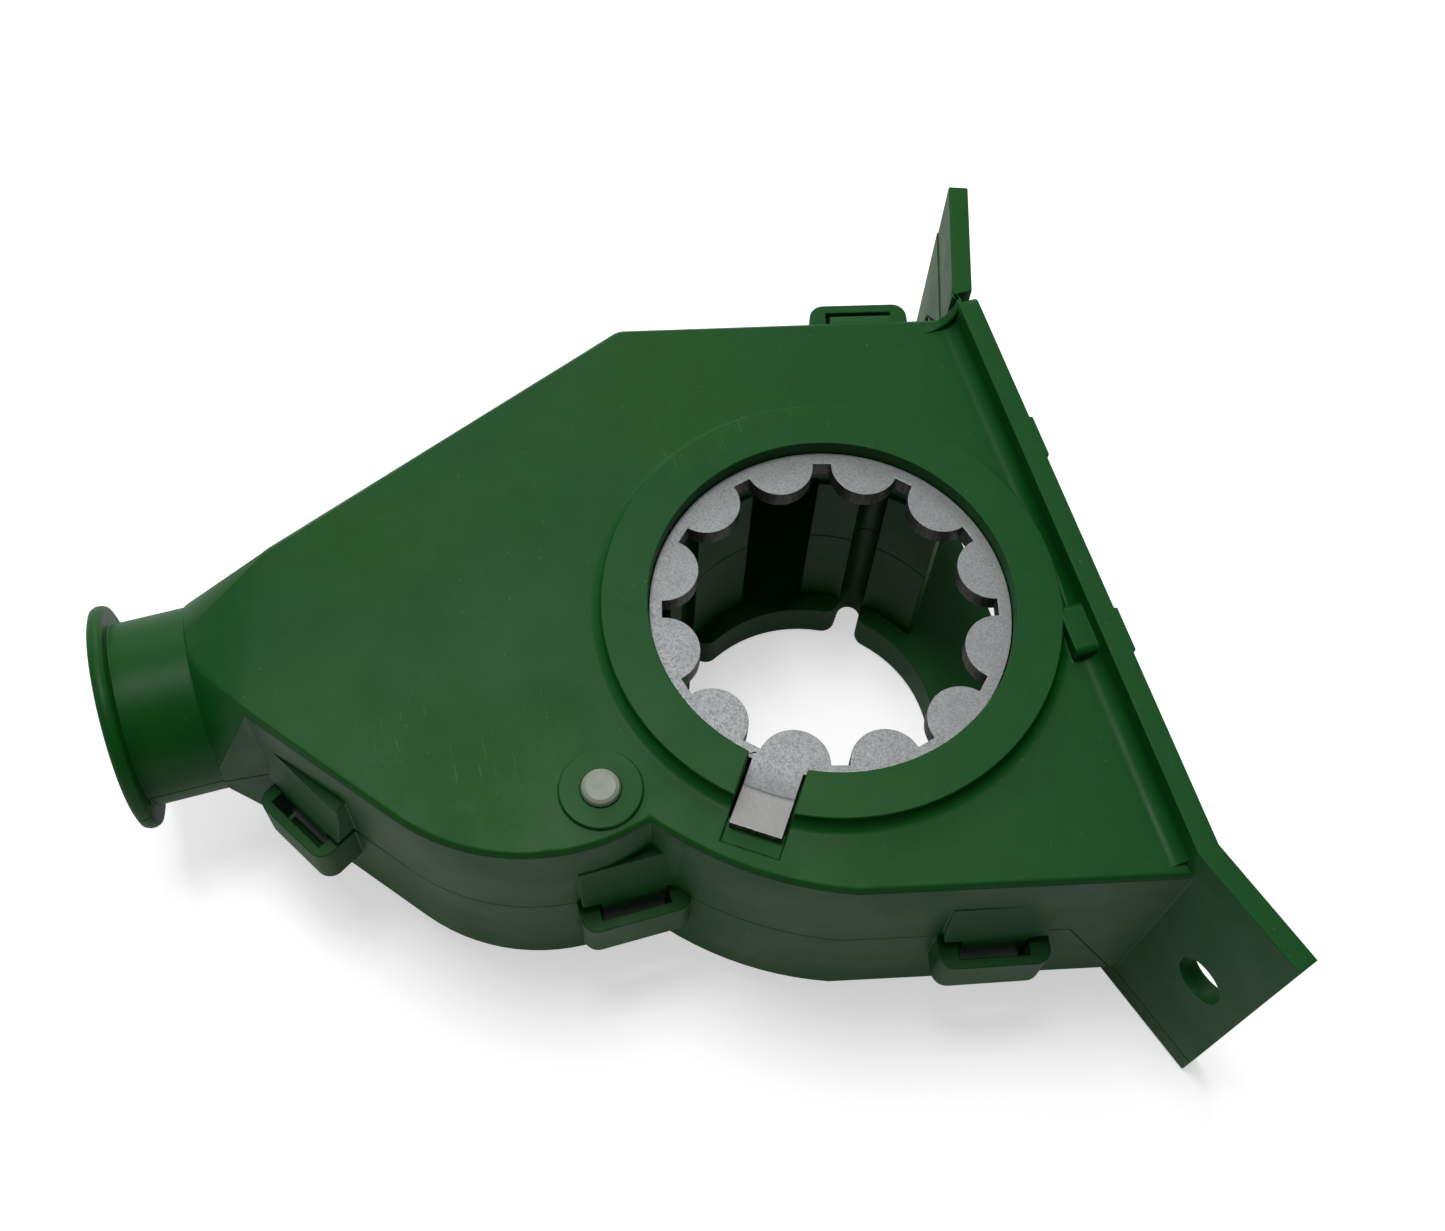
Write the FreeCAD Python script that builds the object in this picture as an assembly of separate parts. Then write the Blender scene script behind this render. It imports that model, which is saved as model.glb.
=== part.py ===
import FreeCAD, Part
import math
import os

# The feed housing of a planter seed meter, laid on its back. The origin is on the feed roll's axis,
# in the plane that the back rests on. +Z runs along the roll's axis to the front, +Y towards the
# seed hopper and -Y towards the seed tube.

# Depths along the roll's axis
back_wall_z = 7.0
front_wall_z = 66.0
parting_z = 37.0
wall = 3.0
front_chamfer = 1.2
back_chamfer = 0.9
corner_round = 4.0
round_steps = 2

# Roll passage
ring_bore_r = 34.65
ring_top = 3.45
ring_outer_r = 43.5
ring_flare = 2.2
ring_inside_r = 37.2
shoulder_r = 32.9
shoulder_thick = 3.0
back_bore_r = 28.2
back_boss_r = 41.0
key_r = 2.6
key_depth = 5.2
key_mouth = 3.0
key_angles = (144.0, 218.0)

# Rosette plate
plate_thick = 4.0
plate_clearance = 0.2
lobes = 12
lobe_phase = 0.0
lobe_r = 6.7
lobe_centre_r = 32.7
plate_rim = 2.45
tab_angle = -34.7
tab_width = 9.8
tab_bend_r = 39.6
tab_end_r = 47.8
tab_end_thick = 2.2
tab_seat = 1.8
tab_seat_gap = 0.1
tab_channel_gap = 0.6
tab_land_r = 50.9
tab_land_depth = 0.3
channel_wall = 2.0

# Outline of the housing at the front face
roll_chamber_r = 54.4
bulge_x = -6.3
bulge_y = -56.9
bulge_r = 40.0
top_corner_x = -72.9
top_corner_y = -22.1
top_flange_x = -58.0
bottom_flange_x = 68.0
bottom_wall_x = 55.4
bottom_wall_y = -9.5
neck_top_x = -41.2
neck_top_y = -100.0
neck_bottom_x = -7.9
neck_bottom_y = -109.7

# Spout
spout_x = -27.5
spout_r = 18.5
spout_bore_r = 15.4
neck_run = 9.3
neck_step = 0.4
neck_corner = 1.0
neck_splits = 7
tube_run = 17.6
lip_thick = 3.0
lip_r = 22.6
lip_round = 1.1

# Hopper flange and its lugs
flange_y = 45.1
flange_thick = 4.3
flange_top_x = -57.2
flange_bottom_x = 65.4
flange_proud = 7.0
flange_root = 1.5
flange_fillet = 3.0
flange_corner = 2.0
web_thick = 2.0
lug_angle = 18.4
lug_length_top = 28.2
lug_length_bottom = 25.0
lug_set_back = 0.8
lug_gap = 1.2
slot_width = 9.8
slot_length = 11.7
slot_along = 14.6
seam_start_y = 30.0
seam_inset = 0.5
lug_seam_z = 6.0
lug_step_z = 58.0
lug_step = 0.2
inlet_x0 = -48.0
inlet_x1 = 56.0
inlet_round = 4.0
inlet_lead = 2.2
bridge_x0 = 12.7
bridge_x1 = 23.0
bridge_round = 1.5
nub_height = 0.6
nub_length = 9.2
nub_places = (-22.0, 21.8)

# Snap clips
clip_length = 21.5
low_clip_length = 18.8
lid_clip_length = 20.4
clip_proud = 6.5
clip_bar = 2.0
clip_depth = 12.0
clip_round = 3.0
clip_gap = 0.35
tongue_width = 12.8
tongue_thick = 1.7
tongue_edge = 0.4
ramp_width = 20.0
ramp_height = 16.0
ramp_low = 2.8
barb = 1.5
barb_height = 4.0
lid_depth = 3.5
lid_start_y = 13.0
lid_tongue_top = 2.4

# Gate, pin and spring
pin_x = 23.8
pin_y = -51.3
pin_r = 3.6
pin_proud = 1.3
pin_round = 0.9
pin_end_gap = 0.1
pin_fit = 0.05
pin_boss_r = 7.6
pin_boss_height = 0.9
pin_seat_r = 6.2
pin_seat_height = 2.0
pin_seat_depth = 2.0
hub_r = 5.6
hub_gap = 0.3
seat_clear = 1.0
running_fit = 0.08
blade_thick = 2.6
blade_end_gap = 0.8
saddle_gap = 1.2
saddle_start = -60.0
saddle_end = -98.0
spring_wire = 1.2
wire_sides = 6
spring_turns = 3
turn_steps = 16
spring_space = 7.2
spring_gap = 0.5
spring_rest = 0.05
leg_clear = 4.4
peg_r = 1.3
peg_y = -11.0

# Guide walls round the back of the roll
guide_step = 4.0
guide_thick = 2.0
guide_gap = 3.0
guide_a = (117.5, 165.0)
guide_b = (189.0, 232.0)

Z = FreeCAD.Vector(0, 0, 1)
far = 400.0
overlap = 1.0
nearby = 1.0

inner_back_z = back_wall_z + wall
inner_front_z = front_wall_z - wall
plate_z = front_wall_z - plate_thick
ring_z = front_wall_z + ring_top
lid_z = front_wall_z - lid_depth
plate_r = ring_bore_r - plate_clearance
land_z = front_wall_z - tab_land_depth
tab_floor_r = tab_end_r - tab_seat
neck_end_y = neck_bottom_y - neck_run
lip_y = neck_end_y - tube_run
key_centre_r = back_bore_r + key_depth
guide_r = back_bore_r + guide_step
guide_top_z = plate_z - guide_gap
flange_front_z = front_wall_z + flange_proud
flange_out_y = flange_y + flange_thick
seat_top_z = inner_back_z + pin_seat_height
hub_z0 = seat_top_z + spring_space + hub_gap
hub_z1 = inner_front_z - pin_seat_height - hub_gap
saddle_r = ring_inside_r + saddle_gap

# Each clip: a point on the wall under its middle, the way out of the wall, its seam, its length,
# the top of its tongue above the seam, and whether a ramp carries the tongue
clips = (
    (1.3, -103.6, -59.0, parting_z, low_clip_length, ramp_low + tongue_edge, True),
    (34.0, -48.5, 0.0, parting_z, clip_length, ramp_low + tongue_edge, True),
    (61.2, 15.35, -12.1, parting_z, clip_length, ramp_low + tongue_edge, True),
    (-61.9, 27.1, 167.0, lid_z, lid_clip_length, lid_tongue_top, False),
)


def v(x, y, z=0.0):
    return FreeCAD.Vector(x, y, z)


def polar(radius, degrees, z=0.0):
    turn = math.radians(degrees)
    return v(radius * math.cos(turn), radius * math.sin(turn), z)


def prism(points, z0, z1):
    wire = Part.makePolygon([v(x, y, z0) for x, y in points + points[:1]])
    return Part.Face(wire).extrude(v(0, 0, z1 - z0))


def side_prism(points, x0, x1):
    """A prism along X from points in the Y and Z directions."""
    wire = Part.makePolygon([v(x0, y, z) for y, z in points + points[:1]])
    return Part.Face(wire).extrude(v(x1 - x0, 0, 0))


def end_prism(points, y0, y1):
    """A prism along Y from points in the X and Z directions."""
    wire = Part.makePolygon([v(x, y0, z) for x, z in points + points[:1]])
    return Part.Face(wire).extrude(v(0, y1 - y0, 0))


def cylinder(radius, z0, z1, x=0.0, y=0.0):
    return Part.makeCylinder(radius, z1 - z0, v(x, y, z0), Z)


def block(x0, x1, y0, y1, z0, z1):
    return Part.makeBox(x1 - x0, y1 - y0, z1 - z0, v(x0, y0, z0))


def turned(shape, degrees):
    copy = shape.copy()
    copy.rotate(v(0, 0), Z, degrees)
    return copy


def line(a, b):
    return Part.LineSegment(a, b).toShape()


def arc(a, mid, b):
    return Part.Arc(a, mid, b).toShape()


def curve(x, y, radius, start, end):
    """Points along an arc, for a rounding that is made of a few cones."""
    steps = [math.radians(start + (end - start) * i / round_steps) for i in range(round_steps + 1)]
    return [(x + radius * math.cos(turn), y + radius * math.sin(turn)) for turn in steps]


def spun(points, x=0.0, y=0.0):
    """A body of revolution about an upright axis from points in the radial and Z directions."""
    wire = Part.makePolygon([v(x + r, y, z) for r, z in points + points[:1]])
    return Part.Face(wire).revolve(v(x, y), Z, 360)


def sector(r0, r1, start, end, z0, z1):
    middle = (start + end) / 2
    edges = [
        arc(polar(r1, start, z0), polar(r1, middle, z0), polar(r1, end, z0)),
        line(polar(r1, end, z0), polar(r0, end, z0)),
        arc(polar(r0, end, z0), polar(r0, middle, z0), polar(r0, start, z0)),
        line(polar(r0, start, z0), polar(r1, start, z0)),
    ]
    return Part.Face(Part.Wire(edges)).extrude(v(0, 0, z1 - z0))


def fused(shapes):
    return shapes[0].multiFuse(shapes[1:]).removeSplitter()


def solid_of(shape):
    """The one solid of a shape, or the shape itself when it has several."""
    return shape.Solids[0] if len(shape.Solids) == 1 else shape


def circle_meeting(r0, cx, cy, r1):
    """The meeting point, on the +X side, of a circle about the roll's axis and another circle."""
    distance = math.hypot(cx, cy)
    along = (r0 * r0 - r1 * r1 + distance * distance) / (2 * distance)
    across = math.sqrt(r0 * r0 - along * along)
    ux, uy = cx / distance, cy / distance
    return along * ux - across * uy, along * uy + across * ux


def outline_points(inset, root=0.0):
    """Corners and arc middles of the outline, moved in by the inset."""
    chamber = roll_chamber_r - inset
    bulge = bulge_r - inset
    top_wall = math.atan2(top_flange_x - top_corner_x, flange_y - top_corner_y)
    slant = math.atan2(neck_top_x - top_corner_x, top_corner_y - neck_top_y)
    low_wall = math.atan2(bottom_flange_x - bottom_wall_x, flange_y - bottom_wall_y)
    foot = math.atan2(neck_bottom_y - bulge_y, neck_bottom_x - bulge_x)
    reach = math.hypot(neck_bottom_x - bulge_x, neck_bottom_y - bulge_y)
    tangent = foot + math.acos(bulge_r / reach)
    # the top corner moves in along the bisector of its two walls
    top_x = inset / math.cos(top_wall)
    spread = 1 / math.cos(slant) - 1 / math.cos(top_wall)
    corner_in = inset * spread / (math.tan(slant) + math.tan(top_wall))
    meet_x, meet_y = circle_meeting(chamber, bulge_x, bulge_y, bulge)
    # the low wall runs down to the chamber's arc
    low_x = inset / math.cos(low_wall)
    slope = math.tan(low_wall)
    a = 1 + slope * slope
    base = bottom_wall_x - low_x - slope * bottom_wall_y
    b = base * slope
    low_y = (-b - math.sqrt(max(b * b - a * (base * base - chamber * chamber), 0.0))) / a
    low = v(base + slope * low_y, low_y)
    start = math.degrees(math.atan2(low.y, low.x))
    end = math.degrees(math.atan2(meet_y, meet_x))
    centre = v(bulge_x, bulge_y)
    outward = v(math.cos(tangent), math.sin(tangent))
    touch = centre + outward * bulge
    half = (math.atan2(meet_y - bulge_y, meet_x - bulge_x) + tangent) / 2
    return {
        "neck_a": v(neck_top_x + inset / math.cos(slant), neck_top_y),
        "corner": v(top_corner_x + top_x + corner_in * math.tan(top_wall), top_corner_y + corner_in),
        "flange_top": v(top_flange_x + top_x + root * math.tan(top_wall), flange_y + root),
        "flange_low": v(bottom_flange_x - low_x + root * slope, flange_y + root),
        "low": low,
        "chamber_mid": polar(chamber, (start + end) / 2),
        "meet": v(meet_x, meet_y),
        "bulge_mid": centre + v(bulge * math.cos(half), bulge * math.sin(half)),
        "touch": touch,
        "neck_b": v(neck_bottom_x, neck_bottom_y) - outward * inset,
    }


def outline_wire(inset, z, root=0.0):
    """Outline of the housing, from the neck round the top wall, the hopper side and both bulges."""
    p = {name: v(point.x, point.y, z) for name, point in outline_points(inset, root).items()}
    return Part.Wire([
        line(p["neck_a"], p["corner"]),
        line(p["corner"], p["flange_top"]),
        line(p["flange_top"], p["flange_low"]),
        line(p["flange_low"], p["low"]),
        arc(p["low"], p["chamber_mid"], p["meet"]),
        arc(p["meet"], p["bulge_mid"], p["touch"]),
        line(p["touch"], p["neck_b"]),
        line(p["neck_b"], p["neck_a"]),
    ])


def is_upright(edge):
    return len(edge.Vertexes) == 2 and abs(edge.tangentAt(edge.FirstParameter).z) > 0.99


def rim_edges(shape, z):
    """Edges of the rim in one plane across the roll's axis, without the flange's and the neck's."""
    ends = outline_points(0.0)
    neck_middle = (ends["neck_a"] + ends["neck_b"]) * 0.5
    picked = []
    for edge in shape.Edges:
        box = edge.BoundBox
        level = abs(box.ZMin - z) < 1e-4 and abs(box.ZMax - z) < 1e-4
        middle = v(edge.CenterOfMass.x, edge.CenterOfMass.y)
        at_flange = box.YMin > flange_y
        at_neck = middle.distanceToPoint(neck_middle) < nearby
        if level and not at_flange and not at_neck:
            picked.append(edge)
    return picked


def chamber_body():
    """The housing's main body as a solid, with its top corner and both rims rounded."""
    outline = Part.Face(outline_wire(0.0, back_wall_z, flange_root))
    body = outline.extrude(v(0, 0, front_wall_z - back_wall_z))
    corner = v(top_corner_x, top_corner_y)
    picked = []
    for edge in body.Edges:
        middle = v(edge.CenterOfMass.x, edge.CenterOfMass.y)
        if is_upright(edge) and middle.distanceToPoint(corner) < nearby:
            picked.append(edge)
    body = body.makeFillet(corner_round, picked)
    body = body.makeChamfer(front_chamfer, rim_edges(body, front_wall_z))
    return body.makeChamfer(back_chamfer, rim_edges(body, back_wall_z))


def neck_rim(corners):
    """A loop through the neck's eight start corners, with its four short sides split for the round end."""
    middle = sum(corners, v(0, 0)) * (1.0 / len(corners))
    ordered = sorted(corners, key=lambda p: math.atan2(p.z - middle.z, p.x - middle.x) % (2 * math.pi))
    points = []
    for start, end in zip(ordered[::2], ordered[1::2]):
        points += [start + (end - start) * (i / neck_splits) for i in range(neck_splits + 1)]
    return points


def neck_outer_rim(body):
    """The rim of the body's flat end, where the outside of the neck starts."""
    ends = outline_points(0.0)
    middle = (ends["neck_a"] + ends["neck_b"]) * 0.5
    middle.z = (back_wall_z + front_wall_z) / 2
    nearest = min(body.Faces, key=lambda face: face.CenterOfMass.distanceToPoint(middle))
    return neck_rim([vertex.Point for vertex in nearest.OuterWire.Vertexes])


def neck_inner_rim():
    """The upright rectangle with cut corners where the inside of the neck starts."""
    points = outline_points(wall)
    start, end = points["neck_a"], points["neck_b"]
    across = (end - start).normalize() * neck_corner
    up = Z * neck_corner
    corners = []
    for z, side in ((inner_back_z, 1), (inner_front_z, -1)):
        for point, inward in ((start, across), (end, -across)):
            corner = v(point.x, point.y, z)
            corners += [corner + inward, corner + up * side]
    return neck_rim(corners)


def neck_end(radius):
    """A ring of short chords across the spout, matched side by side to the neck's rim."""
    step = 90.0 / (neck_splits + 1)
    points = []
    for index in range(4 * (neck_splits + 1)):
        turn = math.radians((index + 0.5) * step)
        points.append(v(spout_x + radius * math.cos(turn), neck_end_y, parting_z + radius * math.sin(turn)))
    return points


def flat_sided(rim, end):
    """A solid between two loops of as many points, with flat triangles along its sides."""
    outlines = [rim, end]
    for index in range(len(rim)):
        a, b, c, d = rim[index - 1], rim[index], end[index], end[index - 1]
        outlines += [[a, b, c], [a, c, d]]
    shell = Part.makeShell([Part.Face(Part.makePolygon(points + points[:1])) for points in outlines])
    shell.sewShape()
    solid = Part.Solid(shell)
    # which way the sewn faces look depends on the order of the points
    return solid if solid.Volume > 0 else solid.reversed()


def spout_tube(radius, y0, y1):
    return Part.makeCylinder(radius, y1 - y0, v(spout_x, y0, parting_z), v(0, 1, 0))


def spout_lip():
    """The lip round the spout's mouth, with rounded corners."""
    back = lip_y + lip_thick
    points = [(0.0, lip_y)] + curve(lip_r - lip_round, lip_y + lip_round, lip_round, -90, 0)
    points += curve(lip_r - lip_round, back - lip_round, lip_round, 0, 90)
    points.append((0.0, back))
    wire = Part.makePolygon([v(spout_x + r, y, parting_z) for r, y in points + points[:1]])
    return Part.Face(wire).revolve(v(spout_x, 0, parting_z), v(0, 1, 0), 360)


def neck_outside(body):
    neck = flat_sided(neck_outer_rim(body), neck_end(spout_r + neck_step))
    return [neck, spout_tube(spout_r, lip_y + overlap, neck_end_y), spout_lip()]


def cavity():
    """The space inside: chambers, neck and spout bore."""
    room = Part.Face(outline_wire(wall, inner_back_z)).extrude(v(0, 0, inner_front_z - inner_back_z))
    corridor = flat_sided(neck_inner_rim(), neck_end(spout_bore_r))
    bore = spout_tube(spout_bore_r, lip_y - overlap, neck_end_y)
    return fused([room, corridor, bore])


def ring_boss():
    """The ring round the roll at the front, with a hollow flare down to the front wall."""
    inner, flare_r = shoulder_r - overlap, ring_outer_r + ring_flare
    base = front_wall_z
    points = [(inner, base - overlap), (inner, ring_z), (ring_outer_r, ring_z)]
    points += curve(flare_r, base + ring_flare, ring_flare, 180, 270)
    return spun(points + [(flare_r, base - overlap)])


def back_keys(z0, z1):
    """The opening for the cut-off with its dome-topped key notches, rounded at their mouths."""
    shapes = [cylinder(back_bore_r, z0, z1)]
    for angle in key_angles:
        centre = polar(key_centre_r, angle)
        shapes.append(cylinder(key_r, z0, z1, centre.x, centre.y))
        shapes.append(turned(block(back_bore_r - key_r, key_centre_r, -key_r, key_r, z0, z1), angle))
    opening = fused(shapes)
    mouths = []
    for edge in opening.Edges:
        middle = v(edge.CenterOfMass.x, edge.CenterOfMass.y)
        mouths_at = [polar(back_bore_r, angle) for angle in key_angles]
        at_mouth = min(middle.distanceToPoint(point) for point in mouths_at) < key_r + nearby
        if is_upright(edge) and at_mouth:
            mouths.append(edge)
    return opening.makeFillet(key_mouth, mouths)


def guide_walls():
    """Upright walls close round the roll, each bulging outward behind its key notch."""
    z0 = inner_back_z - overlap
    walls = []
    for (start, end), angle in zip((guide_a, guide_b), key_angles):
        centre = polar(key_centre_r, angle)
        outside = cylinder(key_r + guide_thick, z0, guide_top_z, centre.x, centre.y)
        outside = outside.cut(cylinder(guide_r, z0 - overlap, guide_top_z + overlap))
        groove = fused([
            cylinder(key_r, z0, guide_top_z + overlap, centre.x, centre.y),
            turned(block(guide_r - key_r, key_centre_r, -key_r, key_r, z0, guide_top_z + overlap), angle),
        ])
        panel = sector(guide_r, guide_r + guide_thick, start, end, z0, guide_top_z)
        walls.append(fused([panel, outside]).cut(groove))
    return walls


def hollow_strip(radius, x0, x1):
    """A concave fillet of the flange's inner face on the front wall, from x0 to x1."""
    base, mid = front_wall_z, radius * math.sqrt(0.5)
    low = base - front_chamfer - overlap
    a, b = v(x0, flange_y - radius, base), v(x0, flange_y, base + radius)
    deep, outer = v(x0, flange_y - radius, low), v(x0, flange_y + overlap, low)
    high = v(x0, flange_y + overlap, base + radius)
    edges = [line(deep, outer), line(outer, high), line(high, b)]
    edges += [arc(b, v(x0, flange_y - radius + mid, base + radius - mid), a), line(a, deep)]
    return Part.Face(Part.Wire(edges)).extrude(v(x1 - x0, 0, 0))


def flange_feet():
    """The fillet along the flange's foot and the web at its top end, and the same behind."""
    foot = hollow_strip(flange_fillet, flange_top_x + web_thick / 2, flange_bottom_x)
    web = hollow_strip(flange_proud, flange_top_x, flange_top_x + web_thick)
    middle = v(0, 0, flange_front_z / 2)
    return [foot, web, foot.mirror(middle, Z), web.mirror(middle, Z)]


def flange_plate():
    """The hopper flange, with the front corner of its top end rounded."""
    plate = block(flange_top_x, flange_bottom_x, flange_y, flange_out_y, 0.0, flange_front_z)
    corner = v(flange_top_x, (flange_y + flange_out_y) / 2, flange_front_z)
    picked = [e for e in plate.Edges if e.CenterOfMass.distanceToPoint(corner) < nearby]
    return plate.makeFillet(flange_corner, picked)


def bridge():
    """The bridge from the ring to the flange, rounded along its top."""
    y0, y1 = ring_outer_r - flange_fillet, flange_y + overlap
    shape = block(bridge_x0, bridge_x1, y0, y1, front_wall_z - overlap, ring_z)
    along = [e for e in shape.Edges if abs(e.tangentAt(e.FirstParameter).y) > 0.99]
    return shape.makeFillet(bridge_round, [e for e in along if e.CenterOfMass.z > front_wall_z])


def lug(side):
    """A lug past one end of the flange, turned towards the hopper. side is 1 below and -1 above."""
    length = lug_length_bottom if side > 0 else lug_length_top
    end_x = flange_bottom_x if side > 0 else flange_top_x
    lean = math.radians(lug_angle)
    hinge = v(end_x, flange_out_y if side > 0 else flange_out_y - lug_set_back)
    out = v(side * math.cos(lean), math.sin(lean))
    across = v(side * math.sin(lean), -math.cos(lean)) * flange_thick
    tip = hinge + out * length
    inside = hinge + v(side * flange_thick * math.tan(lean / 2), -flange_thick)
    corners = [v(end_x, flange_y), hinge, tip, tip + across, inside]
    plate = prism([(p.x, p.y) for p in corners], 0.0, flange_front_z)
    half = (slot_length - slot_width) / 2
    deep = flange_thick * 2
    slot = fused([
        cylinder(slot_width / 2, -deep, deep, 0, -half),
        cylinder(slot_width / 2, -deep, deep, 0, half),
        block(-slot_width / 2, slot_width / 2, -half, half, -deep, deep),
    ])
    slot.rotate(v(0, 0), v(1, 0, 0), 90)
    slot.rotate(v(0, 0), Z, side * lug_angle)
    centre = hinge + out * slot_along + across * 0.5
    slot.translate(v(centre.x, centre.y, parting_z))
    return plate.cut(slot)


def inlet_cut():
    """The seed inlet through the flange, with a sloping lead-in at the back wall."""
    y0, y1 = flange_y - overlap / 2, flange_out_y + overlap
    hole = block(inlet_x0, inlet_x1, y0, y1, inner_back_z, inner_front_z)
    rounds = [e for e in hole.Edges if abs(e.tangentAt(e.FirstParameter).y) > 0.99]
    hole = hole.makeFillet(inlet_round, rounds)
    slope = [(flange_y - inlet_lead, inner_back_z + 0.01), (y1, inner_back_z - inlet_lead)]
    slope += [(y1, inner_back_z + inlet_round), (flange_y - inlet_lead, inner_back_z + inlet_round)]
    return hole.fuse(side_prism(slope, inlet_x0 + inlet_round, inlet_x1 - inlet_round))


def front_region():
    """Everything that belongs to the front half when the housing is split."""
    front = block(-far, far, -far, far, parting_z, far)
    tower = block(-far, inlet_x0 + seam_inset, lid_start_y, far, parting_z - overlap, lid_z)
    seam = [(seam_start_y, parting_z), (flange_y, lug_seam_z), (far, lug_seam_z)]
    seam += [(far, parting_z + overlap), (seam_start_y, parting_z + overlap)]
    foot = side_prism(seam, inlet_x1 - seam_inset, far)
    # the upper lug stays with the rear half over its whole height
    upper_lug = block(-far, flange_top_x, flange_y - 0.01, far, parting_z - overlap, far)
    return front.cut(tower).cut(upper_lug).fuse(foot)


def placed(shape, clip):
    """Places a clip drawn with +X out of the wall, Y along it and Z up from its seam."""
    x, y, outward, z = clip[:4]
    copy = shape.copy()
    copy.rotate(v(0, 0), Z, outward)
    copy.translate(v(x, y, z))
    return copy


def clip_loop(clip):
    half = clip[4] / 2
    outer = block(-wall, clip_proud, -half, half, -clip_depth, 0)
    corners = [e for e in outer.Edges if is_upright(e) and e.CenterOfMass.x > 0]
    outer = outer.makeFillet(clip_round, corners)
    inside = tongue_width / 2 + clip_gap
    window = block(-far, clip_proud - clip_bar, -inside, inside, -far, far)
    return placed(outer.cut(window), clip)


def clip_ramp(clip):
    """The hollow ramp above a clip, which leaves the wall without an edge and carries the tongue."""
    face = clip_gap + tongue_thick
    half = ramp_width / 2
    run = ramp_height - ramp_low
    radius = (run * run + face * face) / (2 * face)
    turn = math.asin(run / radius) / 2
    top, low = v(0, -half, ramp_height), v(face, -half, ramp_low)
    mid = v(radius * (1 - math.cos(turn)), -half, ramp_height - radius * math.sin(turn))
    inner_low, inner_top = v(-wall, -half, ramp_low), v(-wall, -half, ramp_height)
    edges = [arc(low, mid, top), line(top, inner_top), line(inner_top, inner_low), line(inner_low, low)]
    return placed(Part.Face(Part.Wire(edges)).extrude(v(0, ramp_width, 0)), clip)


def clip_tongue(clip):
    """The barbed tongue that reaches back through a loop, rooted in the wall above the seam."""
    face = clip_gap + tongue_thick
    low, top = -clip_depth - clip_gap, clip[5]
    root, edge = -wall / 2, tongue_edge
    profile = [(root, edge), (root, top), (face - edge, top), (face, top - edge), (face, low)]
    profile += [(face + barb, low), (face, low - barb_height), (clip_gap, low - barb_height)]
    profile.append((clip_gap, edge))
    half = tongue_width / 2
    wire = Part.makePolygon([v(x, -half, z) for x, z in profile + profile[:1]])
    return placed(Part.Face(wire).extrude(v(0, tongue_width, 0)), clip)


def housing_shell():
    """Both halves of the housing in one, before they are split."""
    body = chamber_body()
    outside = [body] + neck_outside(body)
    outside.append(flange_plate())
    outside += [lug(1), lug(-1), bridge()] + flange_feet()
    outside += [clip_loop(clip) for clip in clips] + [clip_ramp(clip) for clip in clips if clip[6]]
    outside.append(ring_boss())
    outside.append(cylinder(back_boss_r, 0.0, back_wall_z + overlap))
    outside.append(cylinder(pin_boss_r, front_wall_z - overlap, front_wall_z + pin_boss_height, pin_x, pin_y))
    for x in nub_places:
        x0, x1 = x - nub_length / 2, x + nub_length / 2
        y0, y1 = flange_out_y - overlap, flange_out_y + nub_height
        outside.append(block(x0, x1, y0, y1, front_wall_z, flange_front_z))
    shell = fused(outside).cut(cavity()).cut(inlet_cut())
    # parts that stand inside the chambers
    inside = [cylinder(ring_inside_r, plate_z - shoulder_thick, inner_front_z + overlap)]
    channel_half = tab_width / 2 + tab_channel_gap
    pad_half = channel_half + channel_wall
    pad_z = plate_z - channel_wall
    pad = block(shoulder_r, tab_floor_r + channel_wall, -pad_half, pad_half, pad_z, inner_front_z + overlap)
    inside.append(turned(pad, tab_angle))
    seat_low_z = inner_front_z - pin_seat_height
    inside.append(cylinder(pin_seat_r, seat_low_z, inner_front_z + overlap, pin_x, pin_y))
    inside.append(cylinder(pin_seat_r, inner_back_z - overlap, seat_top_z, pin_x, pin_y))
    inside.append(spring_peg())
    inside += guide_walls()
    shell = fused([shell] + inside)
    # openings for the plate, its tab, the roll, the cut-off and the pin
    shell = shell.cut(cylinder(shoulder_r, plate_z - shoulder_thick - overlap, far))
    shell = shell.cut(cylinder(ring_bore_r, plate_z, far))
    channel = block(shoulder_r, tab_floor_r, -channel_half, channel_half, plate_z, far)
    land = block(shoulder_r, tab_land_r, -channel_half, channel_half, land_z, far)
    shell = shell.cut(turned(channel.fuse(land), tab_angle))
    shell = shell.cut(back_keys(-overlap, inner_back_z + 0.01))
    pin_hole = cylinder(pin_r + pin_fit, inner_back_z - pin_seat_depth, far, pin_x, pin_y)
    return shell.cut(pin_hole)


def housing_halves():
    shell = housing_shell()
    region = front_region()
    front = shell.common(region)
    rear = shell.cut(region)
    front = fused([front] + [clip_tongue(clip) for clip in clips])
    # a gap between the upper lug and the front half's end of the flange
    gap = block(flange_top_x - lug_gap, flange_top_x, flange_y - overlap, far, lid_z, far)
    step = block(-far, flange_top_x - lug_gap, -lug_step, 0, lug_step_z, far)
    rear = rear.cut(gap)
    step.rotate(v(0, 0), Z, -lug_angle)
    lean = math.radians(lug_angle)
    hinge = v(flange_top_x, flange_out_y - lug_set_back)
    face = hinge + v(-math.sin(lean), -math.cos(lean)) * (flange_thick - lug_step)
    end = v(flange_top_x - lug_gap, 0)
    end = v(end.x * math.cos(lean), -end.x * math.sin(lean))
    step.translate(face - end)
    return solid_of(front), solid_of(rear.cut(step))


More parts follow.
